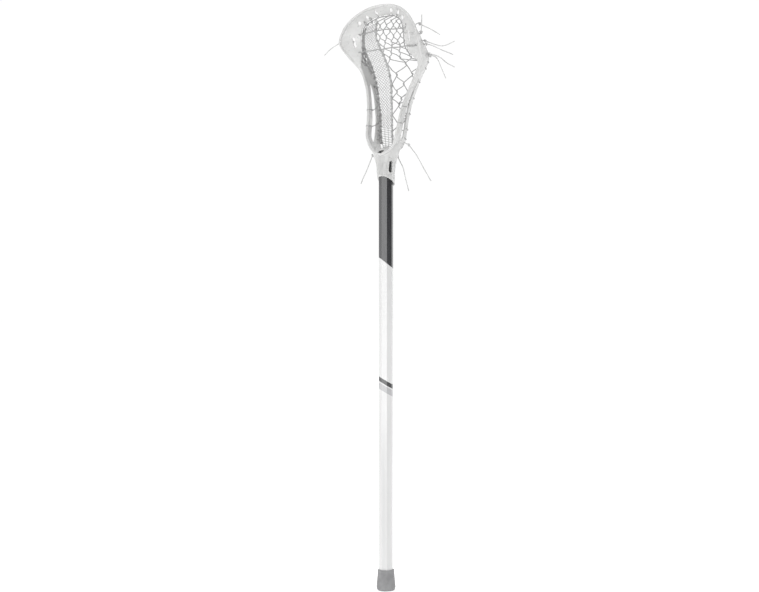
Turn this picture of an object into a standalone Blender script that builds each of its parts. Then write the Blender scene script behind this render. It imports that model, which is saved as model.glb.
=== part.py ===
"""Women's lacrosse stick: moulded head, strung pocket, octagonal shaft, butt cap.

Frame: metres, +Z up the shaft, the head's open face towards -Y, X across the head.
The origin is the centre of the butt cap's flat bottom.
"""
import math

import bmesh
import bpy
from mathutils import Vector

# ---------------------------------------------------------------- driving sizes
GAP = 0.0004                 # clearance between pieces that touch
SHAFT_FLATS = 0.0248         # octagonal tube, across flats
SHAFT_WALL = 0.0016
SHAFT_BOTTOM = 0.0080
SHAFT_TOP = 0.8160
VERTEX_UP = math.pi / 2      # an octagon corner faces front and back

CAP_HEIGHT = 0.0380
CAP_LIP_RADIUS = 0.0178
CAP_BASE_RADIUS = 0.0155
CAP_LIP_HEIGHT = 0.0065
CAP_WALL = 0.0015

WALL = 0.0028                # moulded head wall
SOCKET_SLANT = -0.58         # rise of the socket's lower rim for each metre of Y
SOCKET_RIM = 0.7610
SCREW_HEIGHT = 0.7760
SCREW_HEAD_RADIUS = 0.0036
SCREW_SHANK_RADIUS = 0.0019
SCREW_HOLE_RADIUS = 0.0023

STRING_RADIUS = 0.0010
BRAID_RADIUS = 0.0016
MESH_THICK = 0.0014

# Right half of the head, from the throat's centre up the side to the scoop's centre.
FRONT_RIM = (
    (0.0000, -0.0170, 0.8075), (0.0120, -0.0160, 0.8110), (0.0240, -0.0135, 0.8200),
    (0.0335, -0.0140, 0.8350), (0.0373, -0.0135, 0.8500), (0.0402, -0.0065, 0.8800),
    (0.0459, 0.0012, 0.9100), (0.0559, 0.0095, 0.9400), (0.0690, 0.0125, 0.9700),
    (0.0774, 0.0055, 0.9850), (0.0847, -0.0090, 1.0000), (0.0900, -0.0215, 1.0140),
    (0.0910, -0.0280, 1.0270), (0.0825, -0.0295, 1.0450), (0.0700, -0.0272, 1.0605),
    (0.0490, -0.0228, 1.0755), (0.0250, -0.0202, 1.0840), (0.0000, -0.0195, 1.0865))
BACK_RAIL = (
    (0.0000, 0.0160, 0.8210), (0.0120, 0.0162, 0.8190), (0.0235, 0.0168, 0.8210),
    (0.0305, 0.0190, 0.8340), (0.0325, 0.0215, 0.8490), (0.0345, 0.0265, 0.8800),
    (0.0415, 0.0300, 0.9120), (0.0520, 0.0360, 0.9450), (0.0640, 0.0405, 0.9720),
    (0.0705, 0.0395, 0.9860), (0.0735, 0.0310, 0.9980), (0.0765, 0.0160, 1.0100),
    (0.0835, -0.0060, 1.0235), (0.0800, -0.0190, 1.0400), (0.0690, -0.0185, 1.0570),
    (0.0490, -0.0145, 1.0730), (0.0250, -0.0120, 1.0815), (0.0000, -0.0115, 1.0840))
# Inner edge of the flange that grows from a small lip into the scoop's wide ramp.
LIP_WIDTH = 0.0050
RAMP_EDGE = (
    (0.0640, 0.0040, 0.9830), (0.0545, -0.0065, 1.0000), (0.0510, -0.0095, 1.0140),
    (0.0505, -0.0105, 1.0280), (0.0488, -0.0115, 1.0420), (0.0445, -0.0110, 1.0530),
    (0.0330, -0.0060, 1.0620), (0.0170, -0.0015, 1.0690), (0.0000, 0.0000, 1.0700))
RAMP_FIRST = 9
FILLED_FROM = 9.5            # above this station the wedge behind the ramp is solid
DOME_RISE = 0.0090           # ball stop arches over the shaft's end
WALL_BOW = 0.0015
STATIONS_PER_STEP = 2
WINDOW_STATIONS = (3.15, 7.2)
WINDOW_BAND = (0.38, 0.66)

RUNNER_FIRST = 2
RUNNER_CENTRE = (
    (-0.0012, 0.0055, 0.8315), (-0.0022, 0.0052, 0.8400), (-0.0024, 0.0042, 0.8530),
    (-0.0010, 0.0015, 0.8820), (-0.0020, -0.0005, 0.9120), (-0.0028, -0.0037, 0.9430),
    (-0.0088, -0.0062, 0.9700), (-0.0145, -0.0073, 0.9850), (-0.0212, -0.0090, 1.0000),
    (-0.0256, -0.0118, 1.0150), (-0.0280, -0.0130, 1.0290), (-0.0288, -0.0110, 1.0420),
    (-0.0292, -0.0064, 1.0553))
RUNNER_HALF = (0.0130, 0.0135, 0.0135, 0.0133, 0.0155, 0.0174, 0.0184, 0.0187, 0.0185,
               0.0171, 0.0145, 0.0130, 0.0118)
RUNNER_TOP_ACROSS = (0.0315, 0.0100, 0.0145)

# Free string ends: name, then a hand-chosen route from the knot outwards.
TAILS = {
    "tail_scoop_upper": ((0.0832, -0.0100, 1.0440), (0.0901, -0.0055, 1.0390),
                         (0.1000, -0.0035, 1.0340), (0.1110, -0.0020, 1.0275),
                         (0.1233, -0.0001, 1.0197)),
    "tail_scoop_standing": ((0.0868, -0.0078, 1.0255), (0.0884, -0.0088, 1.0350),
                            (0.0898, -0.0100, 1.0450), (0.0920, -0.0128, 1.0580)),
    "tail_shooter_high_a": ((0.0815, 0.0090, 1.0150), (0.0961, 0.0167, 1.0085),
                            (0.1073, 0.0229, 1.0045), (0.1171, 0.0281, 1.0054),
                            (0.1317, 0.0343, 1.0119)),
    "tail_shooter_high_b": ((0.0800, 0.0150, 1.0105), (0.0913, 0.0231, 1.0060),
                            (0.1009, 0.0382, 0.9994), (0.1070, 0.0470, 0.9960),
                            (0.1133, 0.0555, 0.9922)),
    "tail_shooter_low_a": ((0.0755, 0.0290, 0.9945), (0.0866, 0.0359, 0.9914),
                           (0.0965, 0.0411, 0.9856), (0.1064, 0.0463, 0.9760),
                           (0.1190, 0.0523, 0.9682)),
    "tail_shooter_low_b": ((0.0740, 0.0350, 0.9920), (0.0810, 0.0425, 0.9905),
                           (0.0845, 0.0483, 0.9841), (0.0860, 0.0557, 0.9719),
                           (0.0892, 0.0672, 0.9517)),
    "tail_left_side": ((-0.0845, 0.0090, 1.0300), (-0.0940, 0.0070, 1.0335),
                       (-0.1023, 0.0038, 1.0320), (-0.1106, -0.0027, 1.0291),
                       (-0.1260, -0.0096, 1.0193), (-0.1384, -0.0142, 1.0076)),
    "tail_right_low": ((0.0345, 0.0225, 0.8300), (0.0430, 0.0245, 0.8190),
                       (0.0515, 0.0275, 0.8067), (0.0620, 0.0320, 0.7860),
                       (0.0767, 0.0370, 0.7596)),
    "tail_throat_right": ((0.0120, 0.0195, 0.8100), (0.0163, 0.0208, 0.7995),
                          (0.0216, 0.0245, 0.7859), (0.0238, 0.0287, 0.7674),
                          (0.0262, 0.0357, 0.7434)),
    "tail_throat_left": ((-0.0305, 0.0000, 0.8130), (-0.0355, -0.0015, 0.8009),
                         (-0.0405, -0.0075, 0.7814), (-0.0440, -0.0130, 0.7680),
                         (-0.0455, -0.0178, 0.7569)),
}

# ---------------------------------------------------------------- scene helpers
for old in list(bpy.data.objects):
    bpy.data.objects.remove(old, do_unlink=True)
scene = bpy.context.scene


def new_collection(name):
    made = bpy.data.collections.new(name)
    scene.collection.children.link(made)
    return made


PARTS = new_collection("lacrosse_stick")
CUTTERS = new_collection("cutters")


def material(name, colour, roughness, metallic=0.0):
    made = bpy.data.materials.new(name)
    made.use_nodes = True
    shader = made.node_tree.nodes["Principled BSDF"]
    shader.inputs["Base Color"].default_value = (*colour, 1.0)
    shader.inputs["Roughness"].default_value = roughness
    shader.inputs["Metallic"].default_value = metallic
    return made


MOULDED = material("moulded_white", (0.80, 0.80, 0.78), 0.30)
CARBON = material("shaft_finish", (0.05, 0.05, 0.055), 0.30)
RUBBER = material("cap_rubber", (0.30, 0.30, 0.31), 0.70)
STEEL = material("screw_steel", (0.60, 0.60, 0.62), 0.30, 1.0)
NYLON = material("string_nylon", (0.82, 0.82, 0.80), 0.60)


def smooth_curve(points, t):
    """Point at station t on a Catmull-Rom curve through the points."""
    last = len(points) - 1
    i = min(int(t), last - 1)
    f = t - i
    p1, p2 = Vector(points[i]), Vector(points[i + 1])
    p0 = Vector(points[i - 1]) if i > 0 else p1 * 2 - p2
    p3 = Vector(points[i + 2]) if i + 2 <= last else p2 * 2 - p1
    return 0.5 * (2 * p1 + (p2 - p0) * f + (2 * p0 - 5 * p1 + 4 * p2 - p3) * f * f
                  + (3 * p1 - p0 - 3 * p2 + p3) * f ** 3)


def place(name, mesh, finish, collection=PARTS):
    obj = bpy.data.objects.new(name, mesh)
    collection.objects.link(obj)
    if finish:
        mesh.materials.append(finish)
    if collection is CUTTERS:
        obj.hide_render = True
        obj.display_type = "WIRE"
    return obj


def loft(rings, closed_run=False):
    """Closed mesh from rings of equal length; capped unless the run closes on itself."""
    bm = bmesh.new()
    rows = [[bm.verts.new(p) for p in ring] for ring in rings]
    count = len(rows[0])
    runs = len(rows) if closed_run else len(rows) - 1
    for r in range(runs):
        a, b = rows[r], rows[(r + 1) % len(rows)]
        for i in range(count):
            j = (i + 1) % count
            bm.faces.new((a[i], a[j], b[j], b[i]))
    if not closed_run:
        bm.faces.new(rows[0][::-1])
        bm.faces.new(rows[-1])
    bmesh.ops.recalc_face_normals(bm, faces=bm.faces)
    if bm.calc_volume(signed=True) < 0:
        bmesh.ops.reverse_faces(bm, faces=bm.faces)
    mesh = bpy.data.meshes.new("loft")
    bm.to_mesh(mesh)
    bm.free()
    return mesh


def slab(front_rows, thickness):
    """Thin closed sheet: a grid of points thickened along Y, half to each side."""
    half = Vector((0, thickness / 2, 0))
    rings = []
    for row in front_rows:
        rings.append([p - half for p in row] + [p + half for p in reversed(row)])
    return loft(rings)


def polygon_ring(radius, sides, z, turn=0.0, slant=0.0):
    ring = []
    for i in range(sides):
        a = turn + 2 * math.pi * i / sides
        y = radius * math.sin(a)
        ring.append(Vector((radius * math.cos(a), y, z + slant * y)))
    return ring


def prism(radius, sides, low, high, turn=0.0):
    return loft([polygon_ring(radius, sides, low, turn),
                 polygon_ring(radius, sides, high, turn)])


def octagon_radius(flats):
    return flats / 2 / math.cos(math.pi / 8)


def boolean(target, tool, operation):
    mod = target.modifiers.new(operation.lower(), "BOOLEAN")
    mod.operation = operation
    mod.object = tool
    mod.solver = "EXACT"


def settle(obj):
    """Replace the object's mesh by its evaluated mesh and drop the modifiers."""
    bpy.context.view_layer.update()
    graph = bpy.context.evaluated_depsgraph_get()
    mesh = bpy.data.meshes.new_from_object(obj.evaluated_get(graph))
    obj.modifiers.clear()
    obj.data = mesh


def smooth_shade(obj, angle=math.radians(40)):
    obj.data.shade_smooth()
    obj.data.set_sharp_from_angle(angle=angle)


def tube(name, points, radius):
    data = bpy.data.curves.new(name, "CURVE")
    data.dimensions = "3D"
    data.bevel_depth = radius
    data.bevel_resolution = 2
    data.use_fill_caps = True
    spline = data.splines.new("POLY")
    spline.points.add(len(points) - 1)
    for slot, point in zip(spline.points, points):
        slot.co = (*point, 1.0)
    data.materials.append(NYLON)
    obj = bpy.data.objects.new(name, data)
    PARTS.objects.link(obj)


def sampled(points, count):
    last = len(points) - 1
    return [smooth_curve(points, last * i / (count - 1)) for i in range(count)]


# ---------------------------------------------------------------- head geometry
def wall_frame(t):
    """Rim, rail and flange edge at station t, with unit directions along wall and flange."""
    rim = smooth_curve(FRONT_RIM, t)
    rail = smooth_curve(BACK_RAIL, t)
    along = (rail - rim).normalized()
    ahead = smooth_curve(FRONT_RIM, min(t + 0.05, 17.0)) - smooth_curve(FRONT_RIM, max(t - 0.05, 0.0))
    inward = ahead.normalized().cross(along)
    if inward.dot(Vector((0, 0, 0.95)) - rim) < 0:
        inward = -inward
    inward.normalize()
    edge = rim + inward * LIP_WIDTH
    if t >= RAMP_FIRST:
        edge = smooth_curve(RAMP_EDGE, t - RAMP_FIRST)
    elif t > RAMP_FIRST - 1:
        blend = t - (RAMP_FIRST - 1)
        edge = edge.lerp(Vector(RAMP_EDGE[0]), blend)
    return rim, rail, edge, along, inward


def head_section(t):
    """Closed section: outer wall from rim to rail, back inside it, then the flange."""
    rim, rail, edge, along, inward = wall_frame(t)
    flange = (edge - rim).normalized()
    under = (along - flange * flange.dot(along)).normalized()
    side = (flange - along * flange.dot(along)).normalized()
    rise = DOME_RISE * max(0.0, 1.0 - t / 2.2)
    lift = Vector((0, 0, rise))
    bow = WALL_BOW if 2.5 < t < 11 else 0.0
    quarter = rim.lerp(rail, 0.2) - inward * bow * 0.6 + lift * 0.9
    middle = rim.lerp(rail, 0.5) - inward * bow + lift
    outer = [rim, quarter, middle, rail]
    corner = rim + (along + flange) * (WALL / max(along.cross(flange).length, 0.7))
    hollow = [rail + side * WALL, middle + side * WALL, quarter + side * WALL,
              corner + lift * 0.6]
    reach = (rail - rim).dot(flange)
    drop = (rail - rim).dot(under)
    filled = []
    for step, share in ((0.0020, 0.9), (0.0035, 0.5), (0.0050, 0.1), (0.0065, 0.0)):
        depth = WALL + max(drop - WALL, 0.0) * share
        filled.append(rim + flange * (reach + step) + under * depth)
    mix = min(max(t - FILLED_FROM, 0.0), 1.0)
    inner = [a.lerp(b, mix) for a, b in zip(hollow, filled)]
    return outer + inner + [edge + under * WALL * 0.8, edge]


def mirrored(point):
    return Vector((-point.x, point.y, point.z))


def head_rings():
    steps = 17 * STATIONS_PER_STEP
    right = [head_section(17 * i / steps) for i in range(steps + 1)]
    for ring in (right[0], right[-1]):
        for p in ring:
            p.x = 0.0
    left = [[mirrored(p) for p in ring] for ring in right[1:-1]]
    return right + left[::-1]


def window_cutter(side):
    """Block through one side wall between two stations, inside the wall band."""
    rings = []
    for i in range(15):
        t = WINDOW_STATIONS[0] + (WINDOW_STATIONS[1] - WINDOW_STATIONS[0]) * i / 14
        rim, rail, edge, along, inward = wall_frame(t)
        taper = math.sin(math.pi * min(1.0, 0.18 + 3.0 * min(i, 14 - i) / 14) / 2)
        half = (WINDOW_BAND[1] - WINDOW_BAND[0]) / 2 * taper
        mid = (WINDOW_BAND[1] + WINDOW_BAND[0]) / 2
        low = rim.lerp(rail, mid - half)
        high = rim.lerp(rail, mid + half)
        ring = [low - inward * 0.012, high - inward * 0.012,
                high + inward * 0.012, low + inward * 0.012]
        rings.append([Vector((p.x * side, p.y, p.z)) for p in ring])
    return loft(rings)


def throat_rings():
    """Socket and throat: a slanted lower rim, then a flare up to the cup."""
    sections = ((SOCKET_RIM, 0.0166, 0.0165, SOCKET_SLANT),
                (0.7760, 0.0170, 0.0165, SOCKET_SLANT * 0.5),
                (0.7880, 0.0190, 0.0166, 0.0), (0.8000, 0.0225, 0.0168, 0.0),
                (0.8120, 0.0280, 0.0170, 0.0), (0.8230, 0.0322, 0.0172, 0.0),
                (0.8330, 0.0345, 0.0180, 0.0))
    rings = []
    for z, a, b, slant in sections:
        ring = []
        for i in range(24):
            u = 2 * math.pi * (i + 0.5) / 24
            x, y = a * math.cos(u), b * math.sin(u)
            ring.append(Vector((x, y, z + slant * y)))
        rings.append(ring)
    return rings


def cup_cutter():
    """Everything above the cup's floor, so that the throat ends under it."""
    rings = []
    for i in range(-6, 7):
        t = abs(i) / 2
        side = -1 if i < 0 else 1
        section = head_section(t)
        lift = Vector((0, 0, WALL * 0.5))
        floor = [section[0] + Vector((0, -0.02, 0)) + lift, section[0] + lift,
                 section[1] + lift, section[2] + lift,
                 section[3] + lift, section[3] + Vector((0, 0.02, 0)) + lift]
        ceiling = [Vector((p.x, p.y, 0.90)) for p in reversed(floor)]
        ring = floor + ceiling
        if t == 0:
            for p in ring:
                p.x = 0.0
        rings.append([Vector((p.x * side, p.y, p.z)) for p in ring])
    first = [Vector((-0.05, p.y, p.z)) for p in rings[0]]
    last = [Vector((0.05, p.y, p.z)) for p in rings[-1]]
    return loft([first] + rings + [last])


def rod_cutter(centre, direction, radius, length, sides=10):
    turn = Vector((0, 0, 1)).rotation_difference(Vector(direction)).to_matrix()
    rings = []
    for end in (-0.5, 0.5):
        ring = polygon_ring(radius, sides, end * length)
        rings.append([turn @ p + Vector(centre) for p in ring])
    return loft(rings)


def slot_cutter(centre, outward, up, width, height, depth):
    outward = Vector(outward).normalized()
    up = (Vector(up) - outward * Vector(up).dot(outward)).normalized()
    across = outward.cross(up)
    outline = []
    for i in range(12):
        a = 2 * math.pi * (i + 0.5) / 12
        lift = (height - width) / 2 * (1 if math.sin(a) > 0 else -1)
        outline.append(across * (width / 2 * math.cos(a)) + up * (width / 2 * math.sin(a) + lift))
    rings = [[Vector(centre) + outward * d + p for p in outline] for d in (-depth / 2, depth / 2)]
    return loft(rings)


def make_head():
    head = place("head", loft(head_rings(), closed_run=True), MOULDED)
    bevel = head.modifiers.new("soft_edges", "BEVEL")
    bevel.width = 0.0007
    bevel.segments = 1
    bevel.angle_limit = math.radians(50)
    settle(head)
    throat = place("throat_blank", loft(throat_rings()), None, CUTTERS)
    boolean(throat, place("cup_space", cup_cutter(), None, CUTTERS), "DIFFERENCE")
    settle(throat)
    boolean(head, throat, "UNION")
    bore = octagon_radius(SHAFT_FLATS + 2 * GAP)
    tools = [prism(bore, 8, 0.70, SHAFT_TOP + GAP, VERTEX_UP)]
    for side in (-1, 1):
        tools.append(window_cutter(side))
        out = (side * math.sin(math.radians(67.5)), -math.cos(math.radians(67.5)), 0)
        tools.append(slot_cutter(Vector(out) * 0.016 + Vector((0, 0, 0.7865)), out, (0, 0, 1),
                                 0.0066, 0.0210, 0.016))
        for x, y, z in ((0.0177, -0.0048, 1.0763), (0.0365, -0.0092, 1.0690),
                        (0.0506, -0.0170, 1.0580)):
            tools.append(rod_cutter((side * x, y, z), (side * -0.25, -0.75, -0.6), 0.0026, 0.040))
        tools.append(slot_cutter((side * 0.0640, -0.0140, 1.0240), (0, -1, 0), (0.1 * side, 0, 1),
                                 0.0046, 0.0190, 0.030))
    tools.append(slot_cutter((0, -0.0150, 0.8145), (0, -1, 0), (1, 0, 0.1), 0.0050, 0.0125, 0.014))
    tools.append(rod_cutter((0, 0.0150, SCREW_HEIGHT), (0, 1, 0), SCREW_HOLE_RADIUS, 0.012))
    for i, mesh in enumerate(tools):
        boolean(head, place("head_tool_%02d" % i, mesh, None, CUTTERS), "DIFFERENCE")
    settle(head)
    smooth_shade(head)
    return head


# ---------------------------------------------------------------- shaft, cap, screw
def make_shaft():
    outer = octagon_radius(SHAFT_FLATS)
    inner = octagon_radius(SHAFT_FLATS - 2 * SHAFT_WALL)
    shaft = place("shaft", prism(outer, 8, SHAFT_BOTTOM, SHAFT_TOP, VERTEX_UP), CARBON)
    hollow = place("shaft_hollow", prism(inner, 8, 0.0, SHAFT_TOP + 0.02, VERTEX_UP), None, CUTTERS)
    hole = rod_cutter((0, 0.0130, SCREW_HEIGHT), (0, 1, 0), SCREW_HOLE_RADIUS, 0.010)
    boolean(shaft, hollow, "DIFFERENCE")
    boolean(shaft, place("shaft_screw_hole", hole, None, CUTTERS), "DIFFERENCE")
    settle(shaft)


def make_cap():
    """Rubber cap: octagonal sleeve at the top that flares to a round lip."""
    sides = 32
    top_flats = SHAFT_FLATS + 2 * (CAP_WALL + GAP)
    heights = ((CAP_HEIGHT, 0.0), (0.030, 0.16), (0.022, 0.40), (0.014, 0.70),
               (CAP_LIP_HEIGHT, 1.0))
    rings = []
    for z, roundness in heights:
        ring = []
        for i in range(sides):
            a = 2 * math.pi * i / sides + VERTEX_UP
            facet = (a - VERTEX_UP) % (math.pi / 4) - math.pi / 8
            flat_radius = top_flats / 2 / math.cos(facet)
            radius = flat_radius * (1 - roundness) + CAP_LIP_RADIUS * roundness
            ring.append(Vector((radius * math.cos(a), radius * math.sin(a), z)))
        rings.append(ring)
    rings.append(polygon_ring(CAP_LIP_RADIUS - 0.0004, sides, 0.0038, VERTEX_UP))
    rings.append(polygon_ring(CAP_LIP_RADIUS - 0.0013, sides, 0.0014, VERTEX_UP))
    rings.append(polygon_ring(CAP_BASE_RADIUS, sides, 0.0, VERTEX_UP))
    cap = place("end_cap", loft(rings), RUBBER)
    bore = octagon_radius(SHAFT_FLATS + 2 * GAP)
    boolean(cap, place("cap_bore", prism(bore, 8, SHAFT_BOTTOM - GAP, 0.06, VERTEX_UP),
                       None, CUTTERS), "DIFFERENCE")
    settle(cap)
    smooth_shade(cap)


def make_screw():
    """Pan-head screw through the back of the socket into the shaft, along Y."""
    seat = 0.0168
    profile = ((0.0, seat + 0.0022), (0.0022, seat + 0.0019), (SCREW_HEAD_RADIUS, seat + 0.0008),
               (SCREW_HEAD_RADIUS, seat), (SCREW_SHANK_RADIUS, seat), (SCREW_SHANK_RADIUS, 0.0082),
               (0.0, 0.0062))
    bm = bmesh.new()
    previous = None
    for radius, y in profile:
        vert = bm.verts.new((radius, 0, y))
        if previous:
            bm.edges.new((previous, vert))
        previous = vert
    mesh = bpy.data.meshes.new("screw_profile")
    bm.to_mesh(mesh)
    bm.free()
    screw = place("head_screw", mesh, STEEL)
    spin = screw.modifiers.new("turn", "SCREW")
    spin.axis = "Z"
    spin.steps = 16
    spin.render_steps = 16
    spin.use_merge_vertices = True
    spin.merge_threshold = 0.00005
    spin.use_normal_calculate = True
    spin.use_normal_flip = True
    screw.location = (0, 0, SCREW_HEIGHT)
    screw.rotation_euler = (-math.pi / 2, 0, 0)


# ---------------------------------------------------------------- pocket
def inner_line(t):
    """Line just inside the rail, then just inside the scoop's ramp edge."""
    rim, rail, edge, along, inward = wall_frame(t)
    low = rail + (rim - rail) * 0.12 + inward * (WALL + 0.0022)
    if t <= RAMP_FIRST - 0.5:
        return low
    high = edge + (edge - rim).normalized() * 0.0024
    if t >= RAMP_FIRST + 0.5:
        return high
    return low.lerp(high, t - RAMP_FIRST + 0.5)


def runner_frame(t):
    s = t - RUNNER_FIRST
    centre = smooth_curve(RUNNER_CENTRE, s)
    i = min(int(s), len(RUNNER_HALF) - 2)
    half = RUNNER_HALF[i] + (RUNNER_HALF[i + 1] - RUNNER_HALF[i]) * (s - i)
    across = Vector((1, 0, 0)).lerp(Vector(RUNNER_TOP_ACROSS).normalized(), max(0.0, s - 10) / 2)
    return centre, half, across.normalized()


def between(a, b, count):
    return [a.lerp(b, i / (count - 1)) for i in range(count)]


def make_pocket():
    margin = BRAID_RADIUS + 0.0006
    stations = [2.0 + 0.5 * i for i in range(25)]
    rows = []
    for t in stations:
        centre, half, across = runner_frame(t)
        rows.append(between(centre - across * (half - margin), centre + across * (half - margin), 3))
    place("runner_mesh", slab(rows, MESH_THICK), NYLON)
    for side, name in ((-1, "runner_braid_left"), (1, "runner_braid_right")):
        path = []
        for t in stations:
            centre, half, across = runner_frame(t)
            path.append(centre + across * half * side)
        tube(name, path, BRAID_RADIUS)
    string_margin = STRING_RADIUS + 0.0014
    for side, name in ((-1, "lattice_left"), (1, "lattice_right")):
        rows = []
        for t in [4.0 + 0.5 * i for i in range(20 if side < 0 else 21)]:
            centre, half, across = runner_frame(t)
            edge = inner_line(t)
            edge = Vector((edge.x * side, edge.y, edge.z))
            start = centre + across * (half + margin) * side
            outward = (edge - start).normalized()
            end = edge - outward * string_margin
            weight = max(0.0, (t - 11.0) / 3.0) ** 2 if side > 0 else 0.0
            row = between(start, end, 6) if side > 0 else between(end, start, 4)
            if weight:
                top = [inner_line(s) for s in (16.4, 16.1, 15.6, 15.1, 14.6, 14.0)]
                flat = between(top[0], top[-1], 6)
                row = [p + (q - f) * weight for p, q, f in zip(row, top, flat)]
            rows.append(row)
        place(name, slab(rows, MESH_THICK), NYLON)


def make_strings():
    half_top = [inner_line(12.2 + 0.3 * i) for i in range(17)]
    top = half_top + [mirrored(p) for p in reversed(half_top[:-1])]
    tube("top_string", top, STRING_RADIUS)
    for side, name in ((1, "sidewall_string_right"), (-1, "sidewall_string_left")):
        path = [inner_line(3.0 + 0.3 * i) for i in range(30)]
        tube(name, [Vector((p.x * side, p.y, p.z)) for p in path], STRING_RADIUS)
    for name, t in (("shooting_string_upper", 12.7), ("shooting_string_lower", 10.3)):
        centre, half, across = runner_frame(t)
        edge = inner_line(t)
        front = Vector((0, -0.0046, 0))
        reach = Vector((edge.x + 0.006, edge.y - 0.0045, edge.z))
        route = [mirrored(reach), centre - across * (half + 0.003) + front, centre + front,
                 centre + across * (half + 0.003) + front,
                 (centre + across * half).lerp(reach, 0.55) + front, reach]
        tube(name, sampled(route, 26), STRING_RADIUS)
    for name in TAILS:
        tube(name, sampled(TAILS[name], 16), STRING_RADIUS)


make_head()
make_shaft()
make_cap()
make_screw()
make_pocket()
make_strings()
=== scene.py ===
import math
import random

import bmesh
import bpy
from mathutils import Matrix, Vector


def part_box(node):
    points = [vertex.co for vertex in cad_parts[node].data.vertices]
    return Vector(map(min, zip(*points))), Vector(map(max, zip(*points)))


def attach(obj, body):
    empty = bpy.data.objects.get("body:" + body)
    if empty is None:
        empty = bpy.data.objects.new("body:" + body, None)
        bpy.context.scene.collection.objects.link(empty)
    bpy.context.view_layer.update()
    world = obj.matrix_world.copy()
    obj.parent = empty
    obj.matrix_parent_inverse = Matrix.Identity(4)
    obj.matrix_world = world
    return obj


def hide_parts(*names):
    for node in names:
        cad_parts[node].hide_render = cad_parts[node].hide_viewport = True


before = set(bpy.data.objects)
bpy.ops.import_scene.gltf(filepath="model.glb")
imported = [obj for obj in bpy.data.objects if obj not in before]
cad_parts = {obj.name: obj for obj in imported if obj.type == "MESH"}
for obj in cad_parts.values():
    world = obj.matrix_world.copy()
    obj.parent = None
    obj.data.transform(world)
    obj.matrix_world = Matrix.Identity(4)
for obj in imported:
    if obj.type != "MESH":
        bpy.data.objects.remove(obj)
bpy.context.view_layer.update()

random.seed(7)
BODY = "stick"

# ---------------------------------------------------------------- camera
VIEW_TURN = math.radians(38)
VIEW_DISTANCE = 2.60
VIEW_HEIGHT = 0.547
VIEW_SHIFT = 0.0121          # the stick stands a little right of the view's middle
VIEW_LENS = 66.2


def make_camera():
    data = bpy.data.cameras.new("camera")
    data.lens = VIEW_LENS
    data.sensor_width = 36
    data.clip_end = 50
    cam = bpy.data.objects.new("camera", data)
    bpy.context.scene.collection.objects.link(cam)
    back = Vector((math.sin(VIEW_TURN), -math.cos(VIEW_TURN), 0))
    right = Vector((math.cos(VIEW_TURN), math.sin(VIEW_TURN), 0))
    cam.location = back * VIEW_DISTANCE - right * VIEW_SHIFT + Vector((0, 0, VIEW_HEIGHT))
    cam.rotation_euler = (math.pi / 2, 0, VIEW_TURN)
    bpy.context.scene.camera = cam


# ---------------------------------------------------------------- the head's curves (metres)
WALL = 0.0028
LIP_WIDTH = 0.0050
STRING = 0.0010
FRONT_RIM = (
    (0.0000, -0.0170, 0.8075), (0.0120, -0.0160, 0.8110), (0.0240, -0.0135, 0.8200),
    (0.0335, -0.0140, 0.8350), (0.0373, -0.0135, 0.8500), (0.0402, -0.0065, 0.8800),
    (0.0459, 0.0012, 0.9100), (0.0559, 0.0095, 0.9400), (0.0690, 0.0125, 0.9700),
    (0.0774, 0.0055, 0.9850), (0.0847, -0.0090, 1.0000), (0.0900, -0.0215, 1.0140),
    (0.0910, -0.0280, 1.0270), (0.0825, -0.0295, 1.0450), (0.0700, -0.0272, 1.0605),
    (0.0490, -0.0228, 1.0755), (0.0250, -0.0202, 1.0840), (0.0000, -0.0195, 1.0865))
BACK_RAIL = (
    (0.0000, 0.0160, 0.8210), (0.0120, 0.0162, 0.8190), (0.0235, 0.0168, 0.8210),
    (0.0305, 0.0190, 0.8340), (0.0325, 0.0215, 0.8490), (0.0345, 0.0265, 0.8800),
    (0.0415, 0.0300, 0.9120), (0.0520, 0.0360, 0.9450), (0.0640, 0.0405, 0.9720),
    (0.0705, 0.0395, 0.9860), (0.0735, 0.0310, 0.9980), (0.0765, 0.0160, 1.0100),
    (0.0835, -0.0060, 1.0235), (0.0800, -0.0190, 1.0400), (0.0690, -0.0185, 1.0570),
    (0.0490, -0.0145, 1.0730), (0.0250, -0.0120, 1.0815), (0.0000, -0.0115, 1.0840))
RAMP_EDGE = (
    (0.0640, 0.0040, 0.9830), (0.0545, -0.0065, 1.0000), (0.0510, -0.0095, 1.0140),
    (0.0505, -0.0105, 1.0280), (0.0488, -0.0115, 1.0420), (0.0445, -0.0110, 1.0530),
    (0.0330, -0.0060, 1.0620), (0.0170, -0.0015, 1.0690), (0.0000, 0.0000, 1.0700))
RAMP_FIRST = 9
RUNNER_FIRST = 2
RUNNER_CENTRE = (
    (-0.0012, 0.0055, 0.8315), (-0.0022, 0.0052, 0.8400), (-0.0024, 0.0042, 0.8530),
    (-0.0010, 0.0015, 0.8820), (-0.0020, -0.0005, 0.9120), (-0.0028, -0.0037, 0.9430),
    (-0.0088, -0.0062, 0.9700), (-0.0145, -0.0073, 0.9850), (-0.0212, -0.0090, 1.0000),
    (-0.0256, -0.0118, 1.0150), (-0.0280, -0.0130, 1.0290), (-0.0288, -0.0110, 1.0420),
    (-0.0292, -0.0064, 1.0553))
RUNNER_HALF = (0.0130, 0.0135, 0.0135, 0.0133, 0.0155, 0.0174, 0.0184, 0.0187, 0.0185,
               0.0171, 0.0145, 0.0130, 0.0118)
STRING_HOLES = ((0.0177, -0.0080, 1.0763), (0.0365, -0.0110, 1.0690), (0.0506, -0.0180, 1.0580))
SLOT_TURN = 67.5             # degrees round the socket from its front to each long slot
SLOT_HEIGHT = 0.7865
HOLE_LEAN = (-0.10, -0.55)
PANEL_STRING = ((0.0485, -0.0125, 1.0300), (0.0560, -0.0152, 1.0285), (0.0660, -0.0198, 1.0260),
                (0.0760, -0.0242, 1.0240), (0.0810, -0.0255, 1.0233))
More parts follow.
